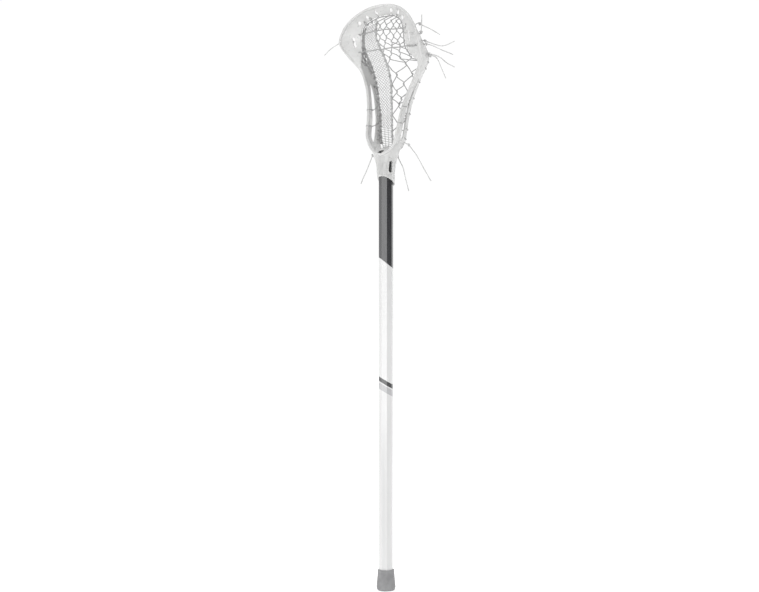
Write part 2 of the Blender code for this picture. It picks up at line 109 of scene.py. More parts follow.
RUNNER_TOP_ACROSS = (0.0315, 0.0100, 0.0145)

# Free string ends, from the knot outwards, and the knots that hold them.
TAILS = {
    "tail_scoop_upper": ((0.0832, -0.0100, 1.0440), (0.0901, -0.0055, 1.0390),
                         (0.1000, -0.0035, 1.0340), (0.1110, -0.0020, 1.0275),
                         (0.1233, -0.0001, 1.0197)),
    "tail_scoop_standing": ((0.0868, -0.0078, 1.0250), (0.0884, -0.0088, 1.0350),
                            (0.0898, -0.0100, 1.0450), (0.0920, -0.0128, 1.0580)),
    "tail_shooter_high_a": ((0.0815, 0.0090, 1.0150), (0.0961, 0.0167, 1.0085),
                            (0.1073, 0.0229, 1.0045), (0.1171, 0.0281, 1.0054),
                            (0.1317, 0.0343, 1.0119)),
    "tail_shooter_high_b": ((0.0800, 0.0150, 1.0105), (0.0913, 0.0231, 1.0060),
                            (0.1009, 0.0382, 0.9994), (0.1070, 0.0470, 0.9960),
                            (0.1133, 0.0555, 0.9922)),
    "tail_shooter_low_a": ((0.0755, 0.0290, 0.9945), (0.0866, 0.0359, 0.9914),
                           (0.0965, 0.0411, 0.9856), (0.1064, 0.0463, 0.9760),
                           (0.1190, 0.0523, 0.9682)),
    "tail_shooter_low_b": ((0.0740, 0.0350, 0.9920), (0.0810, 0.0425, 0.9905),
                           (0.0845, 0.0483, 0.9841), (0.0860, 0.0557, 0.9719),
                           (0.0892, 0.0672, 0.9517)),
    "tail_left_side": ((-0.0845, 0.0090, 1.0300), (-0.0940, 0.0070, 1.0335),
                       (-0.1023, 0.0038, 1.0320), (-0.1106, -0.0027, 1.0291),
                       (-0.1260, -0.0096, 1.0193), (-0.1384, -0.0142, 1.0076)),
    "tail_right_low": ((0.0345, 0.0225, 0.8300), (0.0430, 0.0245, 0.8190),
                       (0.0515, 0.0275, 0.8067), (0.0620, 0.0320, 0.7860),
                       (0.0767, 0.0370, 0.7596)),
    "tail_throat_right": ((0.0120, 0.0195, 0.8100), (0.0163, 0.0208, 0.7995),
                          (0.0216, 0.0245, 0.7859), (0.0238, 0.0287, 0.7674),
                          (0.0262, 0.0357, 0.7434)),
    "tail_throat_left": ((-0.0305, 0.0000, 0.8130), (-0.0355, -0.0015, 0.8009),
                         (-0.0405, -0.0075, 0.7814), (-0.0440, -0.0130, 0.7680),
                         (-0.0455, -0.0178, 0.7569)),
}


def smooth_curve(points, t):
    """Point at station t on a Catmull-Rom curve through the points."""
    last = len(points) - 1
    i = min(int(t), last - 1)
    f = t - i
    p1, p2 = Vector(points[i]), Vector(points[i + 1])
    p0 = Vector(points[i - 1]) if i > 0 else p1 * 2 - p2
    p3 = Vector(points[i + 2]) if i + 2 <= last else p2 * 2 - p1
    return 0.5 * (2 * p1 + (p2 - p0) * f + (2 * p0 - 5 * p1 + 4 * p2 - p3) * f * f
                  + (3 * p1 - p0 - 3 * p2 + p3) * f ** 3)


def sampled(points, count):
    last = len(points) - 1
    return [smooth_curve(points, last * i / (count - 1)) for i in range(count)]


def flip(point, side):
    return Vector((point.x * side, point.y, point.z))


def wall_frame(t):
    """Rim, rail and flange edge at station t, with unit directions along wall and flange."""
    rim = smooth_curve(FRONT_RIM, t)
    rail = smooth_curve(BACK_RAIL, t)
    along = (rail - rim).normalized()
    ahead = smooth_curve(FRONT_RIM, min(t + 0.05, 17.0)) - smooth_curve(FRONT_RIM, max(t - 0.05, 0.0))
    inward = ahead.normalized().cross(along)
    if inward.dot(Vector((0, 0, 0.95)) - rim) < 0:
        inward = -inward
    inward.normalize()
    edge = rim + inward * LIP_WIDTH
    if t >= RAMP_FIRST:
        edge = smooth_curve(RAMP_EDGE, t - RAMP_FIRST)
    elif t > RAMP_FIRST - 1:
        edge = edge.lerp(Vector(RAMP_EDGE[0]), t - (RAMP_FIRST - 1))
    return rim, rail, edge, along, inward


def inner_line(t):
    """Line just inside the rail, then just inside the scoop's ramp edge."""
    rim, rail, edge, _, inward = wall_frame(t)
    low = rail + (rim - rail) * 0.12 + inward * (WALL + 0.0022)
    if t <= RAMP_FIRST - 0.5:
        return low
    high = edge + (edge - rim).normalized() * 0.0024
    if t >= RAMP_FIRST + 0.5:
        return high
    return low.lerp(high, t - RAMP_FIRST + 0.5)


def runner_frame(t):
    s = t - RUNNER_FIRST
    centre = smooth_curve(RUNNER_CENTRE, s)
    i = min(int(s), len(RUNNER_HALF) - 2)
    half = RUNNER_HALF[i] + (RUNNER_HALF[i + 1] - RUNNER_HALF[i]) * (s - i)
    across = Vector((1, 0, 0)).lerp(Vector(RUNNER_TOP_ACROSS).normalized(), max(0.0, s - 10) / 2)
    return centre, half, across.normalized()


# ---------------------------------------------------------------- mesh helpers
def tube_into(bm, points, radius, sides=6, closed=False, radii=None):
    """A round tube along the points, added to bm, with flat ends."""
    count = len(points)
    rings = []
    normal = None
    for i, point in enumerate(points):
        if closed:
            ahead = points[(i + 1) % count] - points[i - 1]
        else:
            ahead = points[min(i + 1, count - 1)] - points[max(i - 1, 0)]
        ahead.normalize()
        if normal is None:
            normal = ahead.orthogonal().normalized()
        normal = (normal - ahead * normal.dot(ahead)).normalized()
        other = ahead.cross(normal)
        size = radii[i] if radii else radius
        ring = []
        for k in range(sides):
            a = 2 * math.pi * k / sides
            ring.append(bm.verts.new(point + (normal * math.cos(a) + other * math.sin(a)) * size))
        rings.append(ring)
    runs = count if closed else count - 1
    for r in range(runs):
        a, b = rings[r], rings[(r + 1) % count]
        for k in range(sides):
            j = (k + 1) % sides
            bm.faces.new((a[k], a[j], b[j], b[k]))
    if not closed:
        bm.faces.new(rings[0][::-1])
        bm.faces.new(rings[-1])


def ball_into(bm, centre, radius, squeeze=(1, 1, 1), detail=2):
    made = bmesh.ops.create_icosphere(bm, subdivisions=detail, radius=radius)
    for vert in made["verts"]:
        vert.co = Vector((vert.co.x * squeeze[0], vert.co.y * squeeze[1], vert.co.z * squeeze[2]))
        vert.co += centre


def knot_into(bm, centre, size, radius, turn=0.0):
    """A small overhand knot: a trefoil of cord."""
    points = []
    for i in range(36):
        a = 2 * math.pi * i / 36
        x = math.sin(a) + 2 * math.sin(2 * a)
        y = math.cos(a) - 2 * math.cos(2 * a)
        z = -math.sin(3 * a)
        c, s = math.cos(turn), math.sin(turn)
        points.append(centre + Vector((x * c - z * s, z * c + x * s, y)) * (size / 3))
    tube_into(bm, points, radius, 6, closed=True)


def finish_mesh(name, bm, look, body=BODY, angle=50):
    bmesh.ops.recalc_face_normals(bm, faces=bm.faces)
    mesh = bpy.data.meshes.new(name)
    bm.to_mesh(mesh)
    bm.free()
    mesh.materials.append(look)
    mesh.shade_smooth()
    mesh.set_sharp_from_angle(angle=math.radians(angle))
    obj = bpy.data.objects.new(name, mesh)
    bpy.context.scene.collection.objects.link(obj)
    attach(obj, body)
    return obj


# ---------------------------------------------------------------- materials
def new_look(name):
    look = bpy.data.materials.new(name)
    look.use_nodes = True
    tree = look.node_tree
    return look, tree, tree.nodes["Principled BSDF"]


def noise(tree, scale, detail=4.0, stretch=None):
    coords = tree.nodes.new("ShaderNodeTexCoord")
    source = coords.outputs["Object"]
    if stretch:
        mapping = tree.nodes.new("ShaderNodeMapping")
        mapping.inputs["Scale"].default_value = stretch
        tree.links.new(source, mapping.inputs["Vector"])
        source = mapping.outputs["Vector"]
    tex = tree.nodes.new("ShaderNodeTexNoise")
    tex.inputs["Scale"].default_value = scale
    tex.inputs["Detail"].default_value = detail
    tree.links.new(source, tex.inputs["Vector"])
    return tex.outputs["Fac"]


def ramp(tree, source, stops):
    node = tree.nodes.new("ShaderNodeValToRGB")
    elements = node.color_ramp.elements
    while len(elements) < len(stops):
        elements.new(0.5)
    for element, (position, value) in zip(elements, stops):
        element.position = position
        element.color = (*value, 1.0) if isinstance(value, tuple) else (value, value, value, 1.0)
    tree.links.new(source, node.inputs["Fac"])
    return node.outputs["Color"]


def bump(tree, shader, height, strength, distance):
    node = tree.nodes.new("ShaderNodeBump")
    node.inputs["Strength"].default_value = strength
    node.inputs["Distance"].default_value = distance
    tree.links.new(height, node.inputs["Height"])
    tree.links.new(node.outputs["Normal"], shader.inputs["Normal"])


def cord_look(name, dark, light, rough=0.75):
    """Braided nylon: fine fibres as bump and a soft change of tone."""
    look, tree, shader = new_look(name)
    fibres = noise(tree, 900.0, 3.0)
    tone = noise(tree, 120.0, 4.0)
    colour = ramp(tree, tone, ((0.3, dark), (0.7, light)))
    tree.links.new(colour, shader.inputs["Base Color"])
    rough_map = ramp(tree, fibres, ((0.2, rough - 0.15), (0.8, rough + 0.1)))
    tree.links.new(rough_map, shader.inputs["Roughness"])
    shader.inputs["Sheen Weight"].default_value = 0.3
    bump(tree, shader, fibres, 0.5, 0.0004)
    return look


def plastic_look():
    look, tree, shader = new_look("moulded_nylon")
    cloud = noise(tree, 22.0, 5.0)
    colour = ramp(tree, cloud, ((0.25, (0.53, 0.53, 0.525)), (0.5, (0.62, 0.62, 0.615)),
                                (0.8, (0.71, 0.71, 0.705))))
    tree.links.new(colour, shader.inputs["Base Color"])
    grain = noise(tree, 180.0, 3.0)
    tree.links.new(ramp(tree, grain, ((0.2, 0.24), (0.8, 0.38))), shader.inputs["Roughness"])
    shader.inputs["Subsurface Weight"].default_value = 0.35
    shader.inputs["Subsurface Radius"].default_value = (1.0, 1.0, 1.0)
    shader.inputs["Subsurface Scale"].default_value = 0.005
    shader.inputs["Transmission Weight"].default_value = 0.18
    shader.inputs["Coat Weight"].default_value = 0.25
    shader.inputs["Coat Roughness"].default_value = 0.15
    shader.inputs["IOR"].default_value = 1.50
    bump(tree, shader, grain, 0.06, 0.0003)
    return look


def rubber_look():
    look, tree, shader = new_look("cap_rubber")
    cloud = noise(tree, 60.0, 6.0)
    colour = ramp(tree, cloud, ((0.3, (0.21, 0.21, 0.215)), (0.7, (0.30, 0.30, 0.305))))
    tree.links.new(colour, shader.inputs["Base Color"])
    grain = noise(tree, 1400.0, 4.0)
    tree.links.new(ramp(tree, grain, ((0.2, 0.55), (0.8, 0.80))), shader.inputs["Roughness"])
    bump(tree, shader, grain, 0.60, 0.0006)
    return look


def steel_look():
    look, tree, shader = new_look("zinc_steel")
    cloud = noise(tree, 400.0, 4.0)
    tree.links.new(ramp(tree, cloud, ((0.3, 0.45), (0.7, 0.65))), shader.inputs["Base Color"])
    tree.links.new(ramp(tree, cloud, ((0.3, 0.25), (0.7, 0.42))), shader.inputs["Roughness"])
    shader.inputs["Metallic"].default_value = 1.0
    bump(tree, shader, cloud, 0.2, 0.0002)
    return look


def shaft_height(tree, slope):
    """Height along the shaft, tilted across its front so that bands run diagonally."""
    coords = tree.nodes.new("ShaderNodeTexCoord")
    dot = tree.nodes.new("ShaderNodeVectorMath")
    dot.operation = "DOT_PRODUCT"
    dot.inputs[1].default_value = (slope * math.cos(VIEW_TURN), slope * math.sin(VIEW_TURN), 1.0)
    tree.links.new(coords.outputs["Object"], dot.inputs[0])
    return dot.outputs["Value"]


def above(tree, height, level):
    node = tree.nodes.new("ShaderNodeMath")
    node.operation = "GREATER_THAN"
    node.inputs[1].default_value = level
    tree.links.new(height, node.inputs[0])
    return node.outputs["Value"]


def mixed(tree, factor, low, high):
    node = tree.nodes.new("ShaderNodeMix")
    node.data_type = "RGBA"
    tree.links.new(factor, node.inputs["Factor"])
    for socket, value in ((node.inputs["A"], low), (node.inputs["B"], high)):
        if isinstance(value, tuple):
            socket.default_value = (*value, 1.0)
        else:
            tree.links.new(value, socket)
    return node.outputs["Result"]


EDGE_SLOPE = 0.78
EDGE_LEVEL = 0.6085
BAND_SLOPE = 0.58
BAND_LEVELS = (0.3672, 0.3790, 0.3815, 0.3898)


def shaft_look():
    """Woven carbon under clear coat above a diagonal edge; white paint with two bands below."""
    look, tree, shader = new_look("shaft_finish")
    coords = tree.nodes.new("ShaderNodeTexCoord")
    weave = tree.nodes.new("ShaderNodeTexChecker")
    weave.inputs["Scale"].default_value = 420.0
    tree.links.new(coords.outputs["Object"], weave.inputs["Vector"])
    carbon_tone = noise(tree, 60.0, 5.0, (1.0, 1.0, 0.08))
    carbon = ramp(tree, carbon_tone, ((0.3, (0.016, 0.016, 0.018)), (0.7, (0.042, 0.043, 0.046))))
    thread = mixed(tree, weave.outputs["Fac"], carbon, (0.030, 0.030, 0.033))
    paint_tone = noise(tree, 35.0, 5.0, (1.0, 1.0, 0.15))
    paint = ramp(tree, paint_tone, ((0.3, (0.60, 0.60, 0.60)), (0.7, (0.66, 0.66, 0.66))))
    bands = shaft_height(tree, BAND_SLOPE)
    grey = mixed(tree, above(tree, bands, BAND_LEVELS[0]), paint, (0.42, 0.42, 0.43))
    gap = mixed(tree, above(tree, bands, BAND_LEVELS[1]), grey, paint)
    black = mixed(tree, above(tree, bands, BAND_LEVELS[2]), gap, (0.030, 0.030, 0.032))
    lower = mixed(tree, above(tree, bands, BAND_LEVELS[3]), black, paint)
    top = above(tree, shaft_height(tree, EDGE_SLOPE), EDGE_LEVEL)
    tree.links.new(mixed(tree, top, lower, thread), shader.inputs["Base Color"])
    wear = noise(tree, 240.0, 6.0, (1.0, 1.0, 0.2))
    tree.links.new(ramp(tree, wear, ((0.3, 0.14), (0.75, 0.30))), shader.inputs["Roughness"])
    shader.inputs["Coat Weight"].default_value = 0.5
    shader.inputs["Coat Roughness"].default_value = 0.12
    bump(tree, shader, wear, 0.08, 0.0003)
    return look


PLASTIC = plastic_look()
RUBBER = rubber_look()
STEEL = steel_look()
SHAFT = shaft_look()
CORD = cord_look("cord_white", 0.44, 0.60)
CORD_GREY = cord_look("cord_grey", 0.27, 0.40)
# Darker cord whose tone is painted shade: it darkens the left braid's beads and the left lattice where they
# lie in shade.
CORD_PAINTED_SHADE = cord_look("cord_painted_shade", 0.15, 0.24)


# ---------------------------------------------------------------- hard pieces
def make_head():
    """The CAD moulding with rounded beads on rim and rail, fused and softened."""
    bm = bmesh.new()
    bm.from_mesh(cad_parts["head"].data)
    for side in (-1, 1):
        rim_line = []
        for i in range(171):
            rim, rail, edge, along, inward = wall_frame(17 * i / 170)
            proud = Vector((0, -0.0022 * max(0.0, min(1.0, (3.6 - 17 * i / 170) / 1.6)), 0))
            rim_line.append(flip(rim + proud + along * 0.0016 + (edge - rim).normalized() * 0.0012, side))
        tube_into(bm, rim_line, 0.0025, 10)
        rail_line = []
        for i in range(108):
            rim, rail, edge, along, inward = wall_frame(0.4 + 10.7 * i / 107)
            rail_line.append(flip(rail - along * 0.0016 + inward * 0.0013, side))
        tube_into(bm, rail_line, 0.0022, 10)
        rib_line = []
        for i in range(60):
            rim, rail, edge, along, inward = wall_frame(3.2 + 5.6 * i / 59)
            rib_line.append(flip(rim.lerp(rail, 0.36), side))
        tube_into(bm, rib_line, 0.0016, 8)
        tube_into(bm, slot_outline(side, 0.0160, 0.0044, 24), 0.0011, 8, closed=True)
    obj = finish_mesh("head_moulding", bm, PLASTIC)
    remesh = obj.modifiers.new("fuse", "REMESH")
    remesh.mode = "VOXEL"
    remesh.voxel_size = 0.00065
    remesh.use_smooth_shade = True
    soften = obj.modifiers.new("soften", "SMOOTH")
    soften.factor = 0.5
    soften.iterations = 5
    openings = bmesh.new()
    add_string_holes(openings)
    add_throat_slots(openings)
    bmesh.ops.recalc_face_normals(openings, faces=openings.faces)
    cut_away(obj, openings)
    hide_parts("head")


def add_string_holes(bm):
    """Oval holes through the scoop, slanted the way the strings leave it."""
    for x, y, z in STRING_HOLES:
        for side in (-1, 1):
            lean = Vector((HOLE_LEAN[0 if side < 0 else 1], 1, 0)).normalized()
            across = Vector((lean.y, -lean.x, 0))
            rings = []
            for reach in (-0.014, 0.014):
                ring = []
                for k in range(16):
                    a = 2 * math.pi * k / 16
                    ring.append(bm.verts.new(Vector((x * side, y, z)) + lean * reach
                                             + across * 0.0021 * math.cos(a)
                                             + Vector((0, 0, 0.0031 * math.sin(a)))))
                rings.append(ring)
            for k in range(16):
                bm.faces.new((rings[0][k], rings[0][(k + 1) % 16], rings[1][(k + 1) % 16], rings[1][k]))
            bm.faces.new(rings[0][::-1])
            bm.faces.new(rings[1])


def slot_outline(side, reach, half, count):
    """Oval round one of the socket's long slots, at a distance from the shaft's axis."""
    turn = math.radians(-90 + SLOT_TURN * side)
    out = Vector((math.cos(turn), math.sin(turn), 0))
    across = Vector((-out.y, out.x, 0))
    points = []
    for k in range(count):
        a = 2 * math.pi * (k + 0.5) / count
        rise = half * math.sin(a) + math.copysign(0.0072, math.sin(a))
        points.append(out * reach + across * half * math.cos(a) + Vector((0, 0, SLOT_HEIGHT + rise)))
    return points


def add_throat_slots(bm):
    """The long slot through each side of the socket, with crisp edges."""
    for side in (-1, 1):
        rings = [[bm.verts.new(p) for p in slot_outline(side, reach, 0.0034, 24)]
                 for reach in (0.0135, 0.0230)]
        for k in range(24):
            bm.faces.new((rings[0][k], rings[0][(k + 1) % 24], rings[1][(k + 1) % 24], rings[1][k]))
        bm.faces.new(rings[0][::-1])
        bm.faces.new(rings[1])


def cut_away(obj, bm, solver="MANIFOLD"):
    """Cut the closed shapes in bm out of the object and keep the result as its mesh."""
    mesh = bpy.data.meshes.new("tool")
    bm.to_mesh(mesh)
    bm.free()
    tool = bpy.data.objects.new("tool", mesh)
    bpy.context.scene.collection.objects.link(tool)
    cut = obj.modifiers.new("cut", "BOOLEAN")
    cut.operation = "DIFFERENCE"
    cut.object = tool
    cut.solver = solver
    apply_modifiers(obj)
    bpy.data.objects.remove(tool, do_unlink=True)


def paint_node(node, look):
    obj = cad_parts[node]
    for i in range(len(obj.data.materials)):
        obj.material_slots[i].material = look
    if not obj.material_slots:
        obj.data.materials.append(look)


def make_screw():
    """Pan-head screw with a cross recess and a threaded shank."""
    low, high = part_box("head_screw")
    height = (low[2] + high[2]) / 2
    bm = bmesh.new()
    seat = 0.0168
    profile = [(0.0036, seat), (0.0036, seat + 0.0008)]
    for i in range(1, 7):
        a = math.pi / 2 * i / 6
        profile.append((0.0036 * math.cos(a), seat + 0.0008 + 0.0013 * math.sin(a)))
    profile = [(0.0017, 0.0085)] + [(0.0017, seat)] + profile
    rings = []
    for radius, y in profile:
        radius = max(radius, 0.00005)
        ring = [bm.verts.new((radius * math.cos(2 * math.pi * k / 32), y,
                              height + radius * math.sin(2 * math.pi * k / 32))) for k in range(32)]
        rings.append(ring)
    for a, b in zip(rings, rings[1:]):
        for k in range(32):
            bm.faces.new((a[k], a[(k + 1) % 32], b[(k + 1) % 32], b[k]))
    bm.faces.new(rings[0])
    bm.faces.new(rings[-1][::-1])
    thread = []
    for i in range(120):
        a = 2 * math.pi * i / 16
        y = 0.0090 + (seat - 0.0092) * i / 119
        thread.append(Vector((0.0017 * math.cos(a), y, height + 0.0017 * math.sin(a))))
    tube_into(bm, thread, 0.0003, 5)
    obj = finish_mesh("screw_body", bm, STEEL, "screw", 35)
    cross = bmesh.new()
    for size in ((0.0038, 0.0022, 0.0009), (0.0009, 0.0022, 0.0038)):
        made = bmesh.ops.create_cube(cross, size=1.0)
        for vert in made["verts"]:
            vert.co = Vector((vert.co.x * size[0], vert.co.y * size[1], vert.co.z * size[2]))
            vert.co += Vector((0, seat + 0.0022, height))
    cut_away(obj, cross, "EXACT")
    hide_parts("head_screw")


def apply_modifiers(obj):
    bpy.context.view_layer.update()
    graph = bpy.context.evaluated_depsgraph_get()
    mesh = bpy.data.meshes.new_from_object(obj.evaluated_get(graph))
    obj.modifiers.clear()
    obj.data = mesh
    mesh.shade_smooth()
    mesh.set_sharp_from_angle(angle=math.radians(35))


# ---------------------------------------------------------------- pocket
def side_point(t, u, side):
    """Point on a laced side panel: u 0 at the braid, 1 at the side string."""
    centre, half, across = runner_frame(t)
    start = centre + across * (half + 0.0012) * side
    edge = flip(inner_line(t), side)
    point = start.lerp(edge, u)
    if side > 0 and t > 11.0:
        weight = ((t - 11.0) / 3.0) ** 2
        first = inner_line(16.45)
        last = inner_line(14.0)
        arc = inner_line(16.45 - 2.45 * u)
        point = point + (arc - first.lerp(last, u)) * weight
    return point


def station_marks(first, last, pitch_for):
    """Stations spaced so that each step along the runner has the wanted length."""
    marks = [first]
    t = first
    travelled = 0.0
    while t < last:
        here = runner_frame(t)[0]
        there = runner_frame(min(t + 0.02, last))[0]
        travelled += (there - here).length
        t += 0.02
        if travelled >= pitch_for(t):
            marks.append(min(t, last))
            travelled = 0.0
    return marks


HALF_TOP = [inner_line(12.0 + 0.1 * i) for i in range(51)]
TOP_LINE = HALF_TOP + [flip(p, -1) for p in reversed(HALF_TOP[:-1])]


RUNNER_START = 2.05
LADDER_END = 4.3
KNIT_CELLS = 5
KNIT_THREAD = 0.00052


def add_ladder(bm):
    """Rungs across the runner near the throat, over four threads that run along it."""
    for t in station_marks(RUNNER_START, LADDER_END, lambda t: 0.0031):
        centre, half, across = runner_frame(t)
        width = half - 0.0014
        rung = []
        for k in range(11):
            sway = Vector((0, 0.0004 * math.sin(k * 2.2), 0.0010 * k / 10))
            rung.append(centre + across * width * (k / 5 - 1) + sway)
        tube_into(bm, rung, 0.00055, 6)
    for k in range(4):
        line = []
        for i in range(50):
            centre, half, across = runner_frame(RUNNER_START + (LADDER_END - RUNNER_START) * i / 49)
            line.append(centre + across * (half - 0.0016) * (k / 1.5 - 1) + Vector((0, 0.0005, 0)))
        tube_into(bm, line, 0.00045, 6)


def runner_drop(point):
    return Vector((point.x * -0.25, -0.0020, -0.0100))


def add_runner_foot(bm):
    """Four threads from the runner's lower end to the throat, with two rungs between them."""
    centre, half, across = runner_frame(RUNNER_START)
    foot = [centre + across * (half - 0.0016) * (k / 1.5 - 1) for k in range(4)]
    for point in foot:
        drop = runner_drop(point)
        middle = point + drop * 0.5 + Vector((0, 0.0008, 0))
        tube_into(bm, sampled([point, middle, point + drop], 6), 0.0006, 6)
    for f in (0.32, 0.62):
        tube_into(bm, [point + runner_drop(point) * f for point in foot], 0.00055, 6)


def knit_rows():
    """Crossing points of the knit; every second row is shifted by half a cell."""
    rows = []
    for j, t in enumerate(station_marks(LADDER_END, 13.97, lambda t: 0.0027)):
        centre, half, across = runner_frame(t)
        width = half - 0.0012
        count = KNIT_CELLS + 1 if j % 2 == 0 else KNIT_CELLS
        row = []
        for k in range(count):
            u = k / KNIT_CELLS if j % 2 == 0 else (k + 0.5) / KNIT_CELLS
            lift = 0.0004 * (1 if (j + k) % 2 else -1)
            row.append(centre + across * width * (2 * u - 1) + Vector((0, lift, 0)))
        rows.append(row)
    return rows


def add_knit(bm):
    rows = knit_rows()
    for j, (low, high) in enumerate(zip(rows, rows[1:])):
        for k in range(KNIT_CELLS):
            tube_into(bm, [low[k], high[k]], KNIT_THREAD, 5)
            if j % 2 == 0:
                tube_into(bm, [low[k + 1], high[k]], KNIT_THREAD, 5)
            else:
                tube_into(bm, [low[k], high[k + 1]], KNIT_THREAD, 5)


def add_runner_ties(bm):
    """Six short ties from the runner's upper end to the top string."""
    centre, half, across = runner_frame(14.0)
    for k in range(6):
        foot = centre + across * (half - 0.001) * (k / 2.5 - 1)
        lean = Vector((0.002 * (-1) ** k, 0, 0.008))
        top = min(TOP_LINE, key=lambda p: (p - foot - lean).length)
        tube_into(bm, [foot, foot.lerp(top, 0.5) + Vector((0.0006, -0.0006, 0)), top], 0.0008, 6)


def make_runner():
    """Knitted mesh: small diamonds above, a ladder of rungs near the throat."""
    bm = bmesh.new()
    add_ladder(bm)
    add_runner_foot(bm)
    add_knit(bm)
    add_runner_ties(bm)
    obj = finish_mesh("runner_knit", bm, CORD_GREY)
    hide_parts("runner_mesh")


def make_braid(side, node):
    """Three strands that cross each other; the third strand and the wraps are darker as painted shade, and
    the left braid is greyer than the right, also painted shade.
    """
    pitch = 0.0080
    marks = station_marks(2.02, 13.98, lambda t: pitch / 12)
    strands = []
    for phase in range(3):
        line = []
        for i, t in enumerate(marks):
            centre, half, across = runner_frame(t)
            a = 2 * math.pi * i / 12 + 2 * math.pi * phase / 3
            line.append(centre + across * (half * side + 0.00125 * math.sin(a))
                        + Vector((0, 0.00085 * math.sin(2 * a), 0)))
        strands.append(line)
    bm = bmesh.new()
    tube_into(bm, strands[0], 0.00095, 7)
    tube_into(bm, strands[1], 0.00095, 7)
    # The left braid's strands take the grey cord as painted shade; the right braid keeps the white cord.
    look = CORD_GREY if side < 0 else CORD
    obj = finish_mesh(node + "_cords", bm, look)
    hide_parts(node)
    # The third strand and the wraps take a darker cord as painted shade: darkest on the left, grey on the
    # right.
    bm = bmesh.new()
    tube_into(bm, strands[2], 0.00100, 7)
    size = 0.0027 if side < 0 else 0.0022
    for t in station_marks(2.3, 9.4 if side < 0 else 13.8, lambda t: 0.0100):
        centre, half, across = runner_frame(t)
        spot = centre + across * half * side
        ring = []
        for k in range(14):
            a = 2 * math.pi * k / 14
            ring.append(spot + across * size * math.cos(a)
                        + Vector((0, -0.85 * size * math.sin(a), 0.4 * size * math.cos(a))))
        tube_into(bm, ring, 0.36 * size, 6, closed=True)
    finish_mesh(node + "_wraps", bm, CORD_PAINTED_SHADE if side < 0 else CORD_GREY)


def lace_rows(side, first, last, columns_at):
    """Rows of crossing points; fewer and larger cells where the panel narrows."""
    def pitch(t):
        width = (side_point(t, 1, side) - side_point(t, 0, side)).length
        return max(0.0060, 0.60 * width / columns_at(t))
    rows = []
    for j, t in enumerate(station_marks(first, last, pitch)):
        columns = columns_at(t)
        shift = 0.5 if j % 2 else 0.0
        row = []
        for k in range(columns if j % 2 else columns + 1):
            wander = random.uniform(-0.05, 0.05) / columns
            u = min(max((k + shift) / columns + wander, 0.0), 1.0)
            lift = Vector((0, random.uniform(-0.0003, 0.0003), 0))
            row.append((u, side_point(t, u, side) + lift))
        rows.append(row)
    return rows


def lace_links(low, high):
    """Pairs of crossings joined between two neighbouring rows."""
    pairs = set()
    for j, (u, _) in enumerate(high):
        left = [i for i, (v, _) in enumerate(low) if v <= u]
        right = [i for i, (v, _) in enumerate(low) if v > u]
        if left:
            pairs.add((left[-1], j))
        if right:
            pairs.add((right[0], j))
    for i, (v, _) in enumerate(low):
        if all(pair[0] != i for pair in pairs):
            near = min(range(len(high)), key=lambda j: abs(high[j][0] - v))
            pairs.add((i, near))
    return sorted(pairs)


def make_lattice(side, node, first, last, columns_at, look, radius, bead):
    """Laced cells between braid and side string: strings cross and twist at each knot."""
    rows = lace_rows(side, first, last, columns_at)
    bm = bmesh.new()
    gaps = [(b[0][1] - a[0][1]).length for a, b in zip(rows, rows[1:])]
    for j, (low, high) in enumerate(zip(rows, rows[1:])):
        rise = (high[0][1] - low[0][1]).normalized() * gaps[j] * 0.16
        for i, k in lace_links(low, high):
            start, end = low[i][1] + rise, high[k][1] - rise
            bend = Vector((random.uniform(-1, 1), 0, random.uniform(-1, 1))) * gaps[j] * 0.05
            middle = start.lerp(end, 0.5) + bend + Vector((0, 0.0005, 0))
            tube_into(bm, sampled([low[i][1], start, middle, end, high[k][1]], 9), radius, 6)
    for row in rows:
        for u, point in row:
            ball_into(bm, point, bead, (0.8, 0.7, 1.6), 2)
    if side > 0:
        for u, point in rows[-1]:
            tube_into(bm, [point, inner_line(16.45 - 2.45 * u) + Vector((0, 0.0004, 0.0006))], radius, 6)
    obj = finish_mesh(node + "_laces", bm, look)
    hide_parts(node)


def twisted_into(bm, points, radius, twist, strands=2):
    """Cord laid up from strands that turn round its centre line."""
    dense = sampled(points, len(points) * 4)
    for s in range(strands):
        line = []
        travelled = 0.0
        normal = None
        for i, point in enumerate(dense):
            ahead = dense[min(i + 1, len(dense) - 1)] - dense[max(i - 1, 0)]
            ahead.normalize()
            if normal is None:
                normal = ahead.orthogonal().normalized()
            normal = (normal - ahead * normal.dot(ahead)).normalized()
            other = ahead.cross(normal)
            if i:
                travelled += (point - dense[i - 1]).length
            a = 2 * math.pi * (travelled / twist + s / strands)
            line.append(point + (normal * math.cos(a) + other * math.sin(a)) * radius * 0.45)
        tube_into(bm, line, radius * 0.6, 6)


